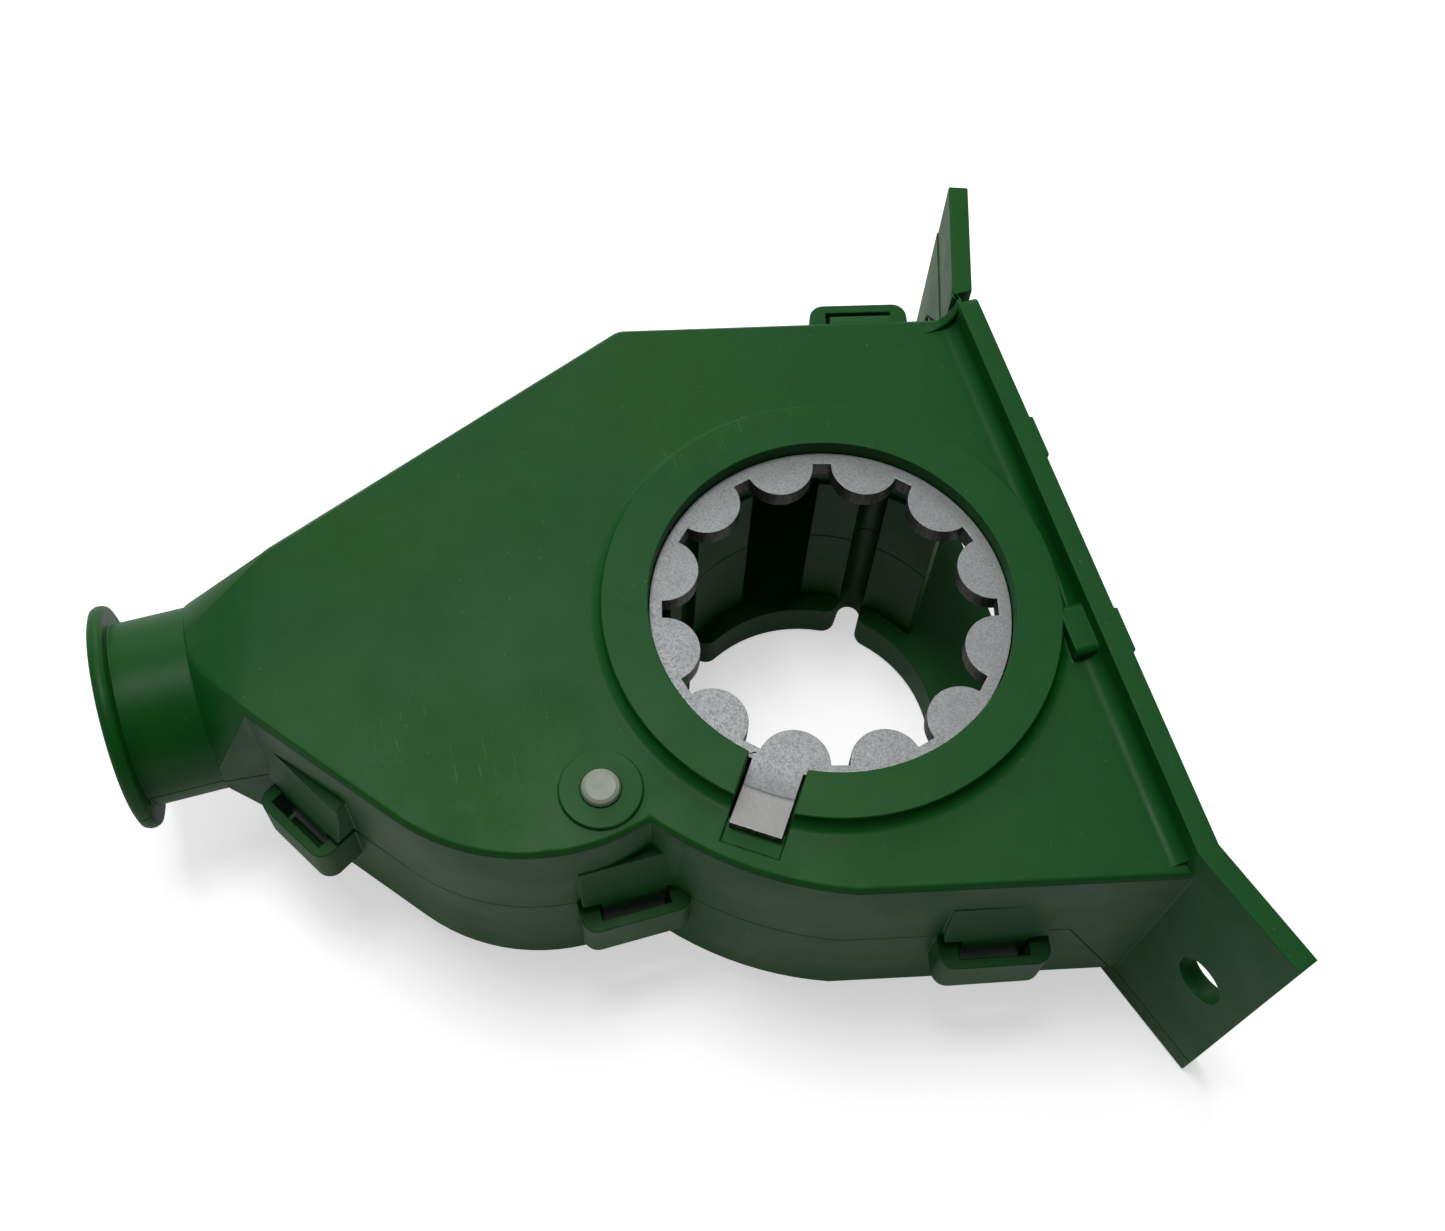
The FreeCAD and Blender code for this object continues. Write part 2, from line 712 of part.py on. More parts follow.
def rosette_plate():
    """A ring with round teeth pointing inward, and the tab that keeps it from turning."""
    top = plate_z + plate_thick
    disc = cylinder(plate_r, plate_z, top)
    teeth = []
    for index in range(lobes):
        centre = polar(lobe_centre_r, lobe_phase + index * 360.0 / lobes)
        teeth.append(cylinder(lobe_r, plate_z, top, centre.x, centre.y).common(disc))
    ring = disc.cut(cylinder(plate_r - plate_rim, plate_z - overlap, top + overlap))
    half = tab_width / 2
    rest_z = land_z + tab_seat_gap
    low = [(lobe_centre_r, plate_z), (tab_bend_r, plate_z), (tab_floor_r - tab_channel_gap, rest_z)]
    low.append((tab_end_r, rest_z))
    high = [(tab_end_r, rest_z + tab_end_thick), (tab_bend_r, top), (lobe_centre_r, top)]
    tab = turned(end_prism(low + high, -half, half), tab_angle)
    return solid_of(fused([ring] + teeth + [tab]))


def gate_pin():
    """The pin from its seat in the back wall through the front wall, with a rounded end."""
    z0 = inner_back_z - pin_seat_depth + pin_end_gap
    z1 = front_wall_z + pin_boss_height + pin_proud
    points = [(0.0, z0), (pin_r, z0)] + curve(pin_r - pin_round, z1 - pin_round, pin_round, 0, 90)
    return solid_of(spun(points + [(0.0, z1)], pin_x, pin_y))


def blade_way():
    """From the pin to where the gate's blade meets its saddle."""
    return polar(saddle_r + blade_thick / 2, saddle_start + 1.5) - v(pin_x, pin_y)


def feed_gate():
    """The gate under the roll: a hub on the pin, a blade and a saddle round the roll."""
    low, high = inner_back_z + blade_end_gap, inner_front_z - blade_end_gap
    saddle = sector(saddle_r, saddle_r + blade_thick, saddle_end, saddle_start, low, high)
    aim = blade_way()
    blade = block(0, aim.Length, -blade_thick / 2, blade_thick / 2, low, high)
    blade.rotate(v(0, 0), Z, math.degrees(math.atan2(aim.y, aim.x)))
    blade.translate(v(pin_x, pin_y))
    clear = pin_seat_r + seat_clear
    for z0, z1 in ((low - overlap, hub_z0), (hub_z1, high + overlap)):
        blade = blade.cut(cylinder(clear, z0, z1, pin_x, pin_y))
    gate = fused([cylinder(hub_r, hub_z0, hub_z1, pin_x, pin_y), blade, saddle])
    return solid_of(gate.cut(cylinder(pin_r + running_fit, low, high, pin_x, pin_y)))


def spring_side():
    """How far the spring's legs run beside the pin's axis."""
    return pin_r + spring_gap + spring_wire / 2


def spring_lie():
    """How far the spring is turned about the pin, and how long its upper leg is.

    The leg's tip lies against the blade's side, short of the saddle.
    """
    way = blade_way()
    along = way.Length - blade_thick / 2 - leg_clear
    reach = blade_thick / 2 + spring_wire / 2 + spring_rest
    lean = math.asin(spring_side() / math.hypot(along, reach)) - math.atan2(reach, along)
    length = along * math.cos(lean) - reach * math.sin(lean)
    turn = math.degrees(math.atan2(way.y, way.x) - lean) - 90
    return turn, length


def spring_peg():
    """The peg on the back wall that holds the spring's lower leg."""
    x = -spring_side() + spring_wire / 2 + peg_r + spring_rest
    peg = cylinder(peg_r, inner_back_z - overlap, seat_top_z + spring_space / 2, x, peg_y)
    peg = turned(peg, spring_lie()[0])
    peg.translate(v(pin_x, pin_y))
    return peg


def gate_spring():
    """A torsion spring round the pin, one leg on the housing's peg and one on the gate's blade."""
    side = spring_side()
    turn, upper = spring_lie()
    lower = peg_r - peg_y
    height = spring_space - spring_wire - spring_gap
    steps = spring_turns * turn_steps
    z0 = seat_top_z + (spring_space - height) / 2

    def section(step):
        """The wire's outline at a step of the coil, upright and across it."""
        corners = []
        for index in range(wire_sides + 1):
            corner = polar(spring_wire / 2, (index + 0.5) * 360.0 / wire_sides)
            z = height * step / steps + corner.y
            corners.append(polar(side + corner.x, 180.0 - 360.0 * step / turn_steps, z))
        return Part.makePolygon(corners)

    coil = Part.makeLoft([section(step) for step in range(steps + 1)], True, True)
    low_leg = Part.Face(section(0)).extrude(v(0, -lower, 0))
    high_leg = Part.Face(section(steps)).extrude(v(0, upper, 0))
    spring = turned(fused([coil, low_leg, high_leg]), turn)
    spring.translate(v(pin_x, pin_y, z0))
    return solid_of(spring)


if __name__ == "__main__":
    os.makedirs("parts", exist_ok=True)
    front_half, rear_half = housing_halves()
    nodes = {
        "front_housing": front_half,
        "rear_housing": rear_half,
        "rosette_plate": rosette_plate(),
        "gate_pin": gate_pin(),
        "feed_gate": feed_gate(),
        "gate_spring": gate_spring(),
    }
    for name, shape in nodes.items():
        print(name, shape.ShapeType, len(shape.Solids), shape.isValid(), round(shape.Volume))
        shape.exportStep("parts/" + name + ".step")
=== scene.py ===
import math

import bmesh
import bpy
from mathutils import Matrix, Vector
from mathutils.bvhtree import BVHTree


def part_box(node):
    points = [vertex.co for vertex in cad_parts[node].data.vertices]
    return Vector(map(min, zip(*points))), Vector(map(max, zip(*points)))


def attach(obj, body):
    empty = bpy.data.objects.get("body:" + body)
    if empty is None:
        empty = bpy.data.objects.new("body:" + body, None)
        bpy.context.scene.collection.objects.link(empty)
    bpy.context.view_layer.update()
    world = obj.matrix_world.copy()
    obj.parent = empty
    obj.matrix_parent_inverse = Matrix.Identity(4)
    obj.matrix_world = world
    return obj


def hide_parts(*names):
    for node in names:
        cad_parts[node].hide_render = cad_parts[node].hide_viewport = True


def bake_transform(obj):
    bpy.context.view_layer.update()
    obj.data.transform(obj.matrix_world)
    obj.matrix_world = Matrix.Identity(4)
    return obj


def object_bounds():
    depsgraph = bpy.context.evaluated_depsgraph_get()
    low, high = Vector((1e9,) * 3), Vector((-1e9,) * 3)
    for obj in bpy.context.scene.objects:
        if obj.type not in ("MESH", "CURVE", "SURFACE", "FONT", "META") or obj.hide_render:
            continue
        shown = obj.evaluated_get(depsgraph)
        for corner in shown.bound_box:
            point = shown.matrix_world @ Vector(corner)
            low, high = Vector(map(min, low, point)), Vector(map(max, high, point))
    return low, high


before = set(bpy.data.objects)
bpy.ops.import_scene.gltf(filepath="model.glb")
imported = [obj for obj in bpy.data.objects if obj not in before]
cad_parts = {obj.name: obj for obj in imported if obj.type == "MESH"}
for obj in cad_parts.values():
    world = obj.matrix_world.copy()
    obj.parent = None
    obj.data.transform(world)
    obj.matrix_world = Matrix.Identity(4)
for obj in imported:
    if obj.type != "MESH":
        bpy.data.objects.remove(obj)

# The feed housing of a seed meter, lying on its back on a pale table. Lengths are in metres.

cad_low, cad_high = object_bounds()
mm = 0.001

# Camera: where it stands, the point of the front face that it aims at, and its turn about its own view
camera_place = Vector((0.13577, -0.07472, 0.36096))
camera_aim = Vector((-0.00394, -0.02028, 0.066))
camera_roll = math.radians(5.227)
camera_lens = 43.75
sensor_width = 36.0
camera_near = 10 * mm

# Eased edges: how far they are cut back, in how many steps, and from which angle on an edge is one
housing_ease = 0.28 * mm
plate_ease = 0.14 * mm
gate_ease = 0.22 * mm
ease_steps = 2
edge_angle = math.radians(52)

# Shading: up to which angle it runs smooth, and how much the large faces rule it
smooth_angle = math.radians(50)
flat_weight = 60

# How close two corners of a node are joined, and up to which angle its triangles make one face
join_distance = 0.002 * mm
flat_angle = math.radians(0.6)

# The rosette plate: a ring with round teeth, and the bent tab that keeps it from turning
plate_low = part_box("rosette_plate")[0].z
plate_thick = 4.0 * mm
plate_radius = 34.45 * mm
plate_steps = 144
plate_join = 0.001 * mm
tooth_count = 12
tooth_radius = 6.7 * mm
tooth_centre = 32.7 * mm
tooth_steps = 22
tab_angle = math.radians(-34.7)
tab_half = 4.9 * mm
tab_bend = 39.6 * mm
tab_end = 47.8 * mm
tab_foot = 45.4 * mm
tab_rest = 65.8 * mm
tab_thick = 2.2 * mm

# The gate's spring, wound round the pin
pin_x, pin_y = 23.8 * mm, -51.3 * mm
coil_low = 12.85 * mm
coil_height = 5.5 * mm
coil_radius = 4.7 * mm
coil_turns = 3
turn_steps = 28
lower_leg = 12.3 * mm
upper_leg = 11.21 * mm
wire_radius = 0.6 * mm
wire_sides = 14
spring_turn = math.radians(-3.57)

# Colours of the finishes, in linear light
green_blue = (0.0026, 0.0770, 0.0100)
green_leaf = (0.0040, 0.0815, 0.0045)
green_deep = (0.0012, 0.0520, 0.0028)
scuff_white = (0.26, 0.36, 0.27)
plate_grey = (0.298, 0.308, 0.308)
plate_dark = (0.157, 0.164, 0.166)
plate_spark = (0.47, 0.48, 0.49)
plate_cut = (0.120, 0.112, 0.106)
# Darkest steel: the pits and shear marks, and also the painted shade along the tab's bend
plate_shear_and_bend_shade = (0.035, 0.033, 0.032)
# The tab's rubbed steel, lightened further as a painted highlight
tab_rubbed_highlight = (0.45, 0.445, 0.42)
pin_pale = (0.240, 0.290, 0.212)
pin_shade = (0.178, 0.222, 0.162)
pin_stain = (0.30, 0.22, 0.13)
wire_grey = (0.42, 0.42, 0.42)
white = (1.0, 1.0, 1.0)

# Marks on the finishes: how the housing's scratches lie, and the edges of the plate's and pin's marks
scratch_turns = ((0.3, 0.2, 0.5), (0.3, 0.2, 2.1))
scratch_scale = (110.0, 1700.0, 240.0)
worn_width = 0.5 * mm
# Where the tab's rubbed band, partly a painted highlight, starts past the bend and where it is full
rub_highlight_start, rub_highlight_full = 0.2 * mm, 0.8 * mm
# Half width and core of the painted shade line along the tab's bend
bend_shade_half, bend_shade_core = 0.30 * mm, 0.05 * mm
stain_half, stain_core = 0.65 * mm, 0.15 * mm

# The table: its size, how far it lies under the object, its colour, and its own glow as the camera sees
# it and as it shows in reflections
table_half = 3.0
table_gap = 0.5 * mm
table_white = (0.86, 0.86, 0.86)
table_rough = 0.9
table_gloss = 0.1
seen_glow = 0.55
mirrored_glow = 0.12

# The room's light, which turns along X from its dim side to the window's side
room_tint = (0.97, 0.98, 1.0)
dim_side, dim_light = 0.45, 0.10
window_side, window_light = -0.75, 0.62

# The lamps, with their sizes across and their power in watts
window_place = Vector((-1.05, 0.10, 0.55))
window_size = 0.6
window_power = 3.0
ceiling_place = Vector((-0.16, -0.08, 1.00))
ceiling_size = 0.35
ceiling_power = 4.25


class Finish:
    """A material's node tree with short ways to add its nodes."""

    def __init__(self, name):
        self.material = bpy.data.materials.new(name)
        self.material.use_nodes = True
        self.nodes = self.material.node_tree.nodes
        self.links = self.material.node_tree.links
        self.shader = self.nodes["Principled BSDF"]
        self.place = self.nodes.new("ShaderNodeTexCoord").outputs["Object"]

    def link(self, source, target):
        self.links.new(source, target)

    def noise(self, scale, detail=4.0, rough=0.55, vector=None):
        """Cloudy noise from 0 to 1, with this many clouds to a metre."""
        node = self.nodes.new("ShaderNodeTexNoise")
        node.inputs["Scale"].default_value = scale
        node.inputs["Detail"].default_value = detail
        node.inputs["Roughness"].default_value = rough
        self.link(vector or self.place, node.inputs["Vector"])
        return node.outputs["Fac"]

    def stretched(self, turn, scale):
        """Places turned and drawn out, for a noise that runs in one direction."""
        node = self.nodes.new("ShaderNodeMapping")
        node.inputs["Rotation"].default_value = turn
        node.inputs["Scale"].default_value = scale
        self.link(self.place, node.inputs["Vector"])
        return node.outputs["Vector"]

    def between(self, source, low, high, out_low=0.0, out_high=1.0):
        """A soft step from one value to another while the source goes from low to high."""
        node = self.nodes.new("ShaderNodeMapRange")
        node.interpolation_type = "SMOOTHSTEP"
        node.inputs["From Min"].default_value = low
        node.inputs["From Max"].default_value = high
        node.inputs["To Min"].default_value = out_low
        node.inputs["To Max"].default_value = out_high
        self.link(source, node.inputs["Value"])
        return node.outputs["Result"]

    def math(self, operation, a, b=None):
        node = self.nodes.new("ShaderNodeMath")
        node.operation = operation
        for socket, value in zip(node.inputs, (a, b)):
            if value is None:
                continue
            if isinstance(value, (int, float)):
                socket.default_value = value
            else:
                self.link(value, socket)
        return node.outputs["Value"]

    def share(self, value, amount):
        """A value times an amount, where each is a number or a node's output."""
        return self.math("MULTIPLY", value, amount)

    def most(self, a, b):
        return self.math("MAXIMUM", a, b)

    def mix(self, amount, a, b):
        """Colour a, with as much of colour b as the amount says."""
        node = self.nodes.new("ShaderNodeMix")
        node.data_type = "RGBA"
        for name, value in (("Factor_Float", amount), ("A_Color", a), ("B_Color", b)):
            socket = next(s for s in node.inputs if s.identifier == name)
            if isinstance(value, tuple):
                socket.default_value = (*value, 1.0)
            else:
                self.link(value, socket)
        return next(s for s in node.outputs if s.identifier == "Result_Color")

    def split(self, vector):
        node = self.nodes.new("ShaderNodeSeparateXYZ")
        self.link(vector, node.inputs["Vector"])
        return node.outputs["X"], node.outputs["Y"], node.outputs["Z"]

    def normal(self):
        return self.nodes.new("ShaderNodeNewGeometry").outputs["Normal"]

    def facing_up(self):
        """How much the surface faces along the roll's axis, from 0 to 1."""
        return self.math("ABSOLUTE", self.split(self.normal())[2])

    def from_axis(self, x=0.0, y=0.0):
        """Distance from an upright line."""
        px, py, _ = self.split(self.place)
        dx = self.math("SUBTRACT", px, x)
        dy = self.math("SUBTRACT", py, y)
        squares = self.math("ADD", self.share(dx, dx), self.share(dy, dy))
        return self.math("SQRT", squares)

    def edge(self, radius):
        """How sharply the surface turns within a radius, from 0 on flats to 1 on an edge."""
        bevel = self.nodes.new("ShaderNodeBevel")
        bevel.samples = 6
        bevel.inputs["Radius"].default_value = radius
        dot = self.nodes.new("ShaderNodeVectorMath")
        dot.operation = "DOT_PRODUCT"
        self.link(bevel.outputs["Normal"], dot.inputs[0])
        self.link(self.normal(), dot.inputs[1])
        return self.between(dot.outputs["Value"], low=0.985, high=0.80)

    def bump(self, height, distance, strength, under=None):
        node = self.nodes.new("ShaderNodeBump")
        node.inputs["Distance"].default_value = distance
        node.inputs["Strength"].default_value = strength
        self.link(height, node.inputs["Height"])
        if under is not None:
            self.link(under, node.inputs["Normal"])
        return node.outputs["Normal"]

    def finish(self, colour, roughness, normal, metallic=0.0, specular=0.5):
        """Ends the tree in its shader and gives the material."""
        self.link(colour, self.shader.inputs["Base Color"])
        self.link(roughness, self.shader.inputs["Roughness"])
        self.link(normal, self.shader.inputs["Normal"])
        self.shader.inputs["Metallic"].default_value = metallic
        self.shader.inputs["Specular IOR Level"].default_value = specular
        return self.material


def moulded_green():
    """Dark green moulded plastic: matt and faintly mottled, with pale scuffs and rubbed edges."""
    f = Finish("moulded_green")
    cloud = f.between(f.noise(scale=17.0, detail=3.0), low=0.38, high=0.62)
    colour = f.mix(cloud, green_blue, green_leaf)
    mottle = f.between(f.noise(scale=150.0, detail=5.0, rough=0.65), low=0.42, high=0.72)
    colour = f.mix(f.share(mottle, amount=0.30), colour, green_deep)

    # Fine scratches in two directions and haze, only where the surface was handled
    handled = f.between(f.noise(scale=21.0, detail=3.0), low=0.50, high=0.64)
    lines = []
    for turn in scratch_turns:
        drawn = f.noise(scale=1.0, detail=2.0, rough=0.5, vector=f.stretched(turn, scratch_scale))
        lines.append(f.between(drawn, low=0.68, high=0.78))
    scratches = f.share(f.share(f.most(*lines), handled), amount=0.15)
    haze = f.between(f.noise(scale=60.0, detail=5.0, rough=0.7), low=0.56, high=0.80)
    haze = f.share(f.share(haze, handled), amount=0.09)

    # Dust all over, and edges rubbed pale in places
    dust = f.share(f.between(f.noise(scale=1100.0, detail=2.0, rough=0.8), low=0.70, high=0.80), amount=0.30)
    rub = f.between(f.noise(scale=330.0, detail=5.0, rough=0.7), low=0.50, high=0.72, out_high=0.34)
    worn = f.share(f.edge(worn_width), rub)
    pale = f.most(f.most(scratches, dust), f.most(worn, haze))
    colour = f.mix(pale, colour, scuff_white)

    roughness = f.between(f.noise(scale=45.0), low=0.3, high=0.7, out_low=0.42, out_high=0.54)
    grain = f.bump(f.noise(scale=1700.0, detail=3.0), distance=0.05 * mm, strength=0.30)
    sink = f.bump(f.noise(scale=30.0, detail=2.0), distance=0.6 * mm, strength=0.10, under=grain)
    return f.finish(colour, roughness, sink, specular=0.18)


def speckled_steel():
    """Grey pressed steel, finely speckled, with sheared sides, a rubbed tab whose brightness is partly a
    painted highlight, and painted shade along the tab's bend.
    """
    f = Finish("speckled_steel")
    grain = f.between(f.noise(scale=2400.0, rough=0.7), low=0.38, high=0.68)
    colour = f.mix(f.share(grain, amount=0.62), plate_grey, plate_dark)
    spark = f.between(f.noise(scale=3600.0, detail=2.0, rough=0.6), low=0.60, high=0.74)
    colour = f.mix(f.share(spark, amount=0.75), colour, plate_spark)
    stain = f.between(f.noise(scale=210.0, rough=0.6), low=0.46, high=0.72)
    colour = f.mix(f.share(stain, amount=0.25), colour, plate_dark)
    pits = f.between(f.noise(scale=700.0, detail=3.0, rough=0.7), low=0.70, high=0.76)
    colour = f.mix(f.share(pits, amount=0.7), colour, plate_shear_and_bend_shade)

    # Past its bend the tab is rubbed bright, and part of that brightness is a painted highlight; a painted
    # shade line runs along the bend
    reach = f.from_axis()
    rubbed = f.between(reach, low=tab_bend + rub_highlight_start, high=tab_bend + rub_highlight_full)
    along_tab = f.stretched((0.0, 0.0, -tab_angle), (300.0, 2600.0, 500.0))
    brushed = f.noise(scale=1.0, detail=3.0, rough=0.6, vector=along_tab)
    bright = f.mix(f.share(brushed, amount=0.5), tab_rubbed_highlight, plate_dark)
    colour = f.mix(f.share(rubbed, amount=0.8), colour, bright)
    # A painted shade line along the tab's bend
    from_bend = f.math("ABSOLUTE", f.math("SUBTRACT", reach, tab_bend))
    bend_shade = f.between(from_bend, low=bend_shade_half, high=bend_shade_core)
    colour = f.mix(f.share(bend_shade, amount=0.5), colour, plate_shear_and_bend_shade)

    # The sheared sides are darker, with marks that run across the thickness
    side = f.between(f.facing_up(), low=0.60, high=0.40)
    across = f.stretched((0.0, 0.0, 0.0), (1500.0, 1500.0, 130.0))
    shear = f.between(f.noise(scale=1.0, detail=3.0, rough=0.6, vector=across), low=0.35, high=0.7)
    colour = f.mix(side, colour, f.mix(shear, plate_cut, plate_shear_and_bend_shade))

    roughness = f.between(grain, low=0.0, high=1.0, out_low=0.40, out_high=0.58)
    normal = f.bump(f.noise(scale=2200.0, detail=3.0, rough=0.7), distance=0.05 * mm, strength=0.35)
    return f.finish(colour, roughness, normal, metallic=0.45)


def pale_plastic():
    """The pin's and the gate's pale plastic, a little yellowed, with a stained mark on the pin's end."""
    f = Finish("pale_plastic")
    cloud = f.between(f.noise(scale=240.0), low=0.35, high=0.7)
    colour = f.mix(f.share(cloud, amount=0.55), pin_pale, pin_shade)
    mark = f.between(f.from_axis(pin_x, pin_y), low=stain_half, high=stain_core)
    colour = f.mix(f.share(mark, amount=0.55), colour, pin_stain)
    roughness = f.between(f.noise(scale=300.0, detail=3.0), low=0.3, high=0.7, out_low=0.36, out_high=0.50)
    normal = f.bump(f.noise(scale=1300.0, detail=3.0), distance=0.03 * mm, strength=0.4)
    return f.finish(colour, roughness, normal)


def spring_wire_steel():
    """Drawn spring wire."""
    f = Finish("spring_wire_steel")
    drawn_out = f.stretched((0.0, 0.0, 0.0), (700.0, 700.0, 2400.0))
    streak = f.noise(scale=1.0, detail=3.0, rough=0.6, vector=drawn_out)
    colour = f.mix(f.share(streak, amount=0.6), wire_grey, plate_dark)
    roughness = f.between(streak, low=0.3, high=0.7, out_low=0.25, out_high=0.42)
    normal = f.bump(streak, distance=0.02 * mm, strength=0.4)
    return f.finish(colour, roughness, normal, metallic=0.9)


class Tree:
    """A Geometry Nodes tree with named inputs for its sizes."""

    def __init__(self, name, sizes):
        self.group = bpy.data.node_groups.new(name, "GeometryNodeTree")
        self.sizes = sizes
        for label, value in sizes.items():
            kind = "NodeSocketInt" if isinstance(value, int) else "NodeSocketFloat"
            self.group.interface.new_socket(label, in_out="INPUT", socket_type=kind)
        self.group.interface.new_socket("Geometry", in_out="OUTPUT", socket_type="NodeSocketGeometry")
        self.given = self.group.nodes.new("NodeGroupInput").outputs

    def add(self, kind, inputs=None, **settings):
        """Adds a node and gives its first output. An input is a number, a socket or a list of sockets."""
        node = self.group.nodes.new(kind)
        for name, value in settings.items():
            setattr(node, name, value)
        for name, value in (inputs or {}).items():
            socket = node.inputs[name]
            for source in value if isinstance(value, list) else [value]:
                if isinstance(source, bpy.types.NodeSocket):
                    self.group.links.new(source, socket)
                else:
                    socket.default_value = source
        return node.outputs[0]

    def math(self, operation, a, b=0.0):
        return self.add("ShaderNodeMath", {0: a, 1: b}, operation=operation)

    def place(self, x, y, z=0.0):
        return self.add("ShaderNodeCombineXYZ", {0: x, 1: y, 2: z})

    def piece(self, geometry, material, name):
        """Ends the tree in its material, and makes its result an object with a plain mesh."""
        real = self.add("GeometryNodeRealizeInstances", {"Geometry": geometry})
        dressed = self.add("GeometryNodeSetMaterial", {"Geometry": real, "Material": material})
        end = self.group.nodes.new("NodeGroupOutput")
        self.group.links.new(dressed, end.inputs["Geometry"])
        holder = new_object(name, bpy.data.meshes.new(name))
        modifier = holder.modifiers.new("made", "NODES")
        modifier.node_group = self.group
        for item in self.group.interface.items_tree:
            if item.in_out == "INPUT":
                modifier[item.identifier] = self.sizes[item.name]
        make_plain(holder)
        return holder


def new_object(name, data):
    """Puts a mesh, lamp or camera into the scene."""
    holder = bpy.data.objects.new(name, data)
    bpy.context.collection.objects.link(holder)
    return holder


def make_plain(holder):
    """Turns what an object's modifiers make into its plain mesh, and removes them."""
    bpy.context.view_layer.update()
    seen = holder.evaluated_get(bpy.context.evaluated_depsgraph_get())
    mesh = bpy.data.meshes.new_from_object(seen)
    holder.modifiers.clear()
    holder.data = mesh


def shade_smooth(mesh):
    """Smooth shading, except across edges that turn past the smooth angle."""
    mesh.polygons.foreach_set("use_smooth", [True] * len(mesh.polygons))
    mesh.set_sharp_from_angle(angle=smooth_angle)


def ease_edges(holder, width):
    """Rounds the sharp edges, keeps the flats flat and lets the cuts run smooth."""
    shape = bmesh.new()
    shape.from_mesh(holder.data)
    sharp_shape = BVHTree.FromBMesh(shape)
    low = [min(corner.co[axis] for corner in shape.verts) for axis in range(3)]
    high = [max(corner.co[axis] for corner in shape.verts) for axis in range(3)]
    shape.free()
    bevel = holder.modifiers.new("ease", "BEVEL")
    bevel.width = width
    bevel.segments = ease_steps
    bevel.limit_method = "ANGLE"
    bevel.angle_limit = edge_angle
    bevel.use_clamp_overlap = False
    make_plain(holder)
    # Where short edges meet, a corner can run past the surface, so it is set back onto it. No corner may
    # leave the sharp shape's box
    for corner in holder.data.vertices:
        nearest, _, _, distance = sharp_shape.find_nearest(corner.co)
        if distance > width:
            corner.co = nearest
        corner.co = [min(max(value, least), most) for value, least, most in zip(corner.co, low, high)]
    shade_smooth(holder.data)
    weigh = holder.modifiers.new("weigh", "WEIGHTED_NORMAL")
    weigh.keep_sharp = True
    weigh.weight = flat_weight
    make_plain(holder)


def eased_copy(node, name, width, material, body):
    """A node's shape with its triangles joined and its edges eased, standing for the node."""
    mesh = bpy.data.meshes.new(name)
    shape = bmesh.new()
    shape.from_mesh(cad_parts[node].data)
    bmesh.ops.remove_doubles(shape, verts=shape.verts, dist=join_distance)
    bmesh.ops.dissolve_limit(shape, angle_limit=flat_angle, verts=shape.verts, edges=shape.edges)
    shape.to_mesh(mesh)
    shape.free()
    mesh.materials.clear()
    mesh.materials.append(material)
    holder = new_object(name, mesh)
    ease_edges(holder, width)
    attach(holder, body)
    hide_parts(node)


def toothed_ring(material):
    """The rosette plate without its tab: one outline that follows twelve round teeth, raised."""
    sizes = {
        "Teeth": tooth_count, "Steps": tooth_steps, "Tooth radius": tooth_radius,
        "Tooth centre": tooth_centre, "Plate radius": plate_radius, "Plate low": plate_low,
        "Thickness": plate_thick,
    }
    t = Tree("rosette_teeth", sizes)
    given = t.given

    # A tooth's edge sweeps this far each way from its tip, to where a line from the axis just touches it
    lean = math.acos(tooth_radius / tooth_centre)
    per_tooth = t.math("ADD", given["Steps"], 1)
    count = t.math("MULTIPLY", given["Teeth"], per_tooth)
    row = t.add("GeometryNodeMeshLine", {"Count": count})
    index = t.add("GeometryNodeInputIndex")
    tooth = t.math("FLOOR", t.math("DIVIDE", index, per_tooth))
    step = t.math("SUBTRACT", index, t.math("MULTIPLY", tooth, per_tooth))
    share = t.math("DIVIDE", step, given["Steps"])
    sweep = t.math("SUBTRACT", t.math("MULTIPLY", share, 2 * lean), lean)
    out = t.math("MULTIPLY", given["Tooth radius"], t.math("COSINE", sweep))
    out = t.math("SUBTRACT", given["Tooth centre"], out)
    side = t.math("MULTIPLY", given["Tooth radius"], t.math("SINE", sweep))
    way = t.math("DIVIDE", t.math("MULTIPLY", tooth, math.tau), given["Teeth"])
    cosine, sine = t.math("COSINE", way), t.math("SINE", way)
    x = t.math("SUBTRACT", t.math("MULTIPLY", out, cosine), t.math("MULTIPLY", side, sine))
    y = t.math("ADD", t.math("MULTIPLY", out, sine), t.math("MULTIPLY", side, cosine))
    row = t.add("GeometryNodeSetPosition", {"Geometry": row, "Position": t.place(x, y)})
    teeth = t.add("GeometryNodeMeshToCurve", {"Mesh": row})
    teeth = t.add("GeometryNodeSetSplineCyclic", {"Geometry": teeth, "Cyclic": True})

    # The face between the teeth and the rim is raised to the plate's thickness and closed below
    circle = {"Resolution": plate_steps, "Radius": given["Plate radius"]}
    rim = t.add("GeometryNodeCurvePrimitiveCircle", circle)
    both = t.add("GeometryNodeJoinGeometry", {"Geometry": [teeth, rim]})
    flat = t.add("GeometryNodeFillCurve", {"Curve": both})
    up = t.place(0.0, 0.0, given["Thickness"])
    raised = t.add("GeometryNodeExtrudeMesh", {"Mesh": flat, "Offset": up, "Individual": False})
    under = t.add("GeometryNodeFlipFaces", {"Mesh": flat})
    whole = t.add("GeometryNodeJoinGeometry", {"Geometry": [raised, under]})
    whole = t.add("GeometryNodeMergeByDistance", {"Geometry": whole, "Distance": plate_join})
    low = t.place(0.0, 0.0, given["Plate low"])
    whole = t.add("GeometryNodeTransform", {"Geometry": whole, "Translation": low})
    return t.piece(whole, material, "toothed_plate")


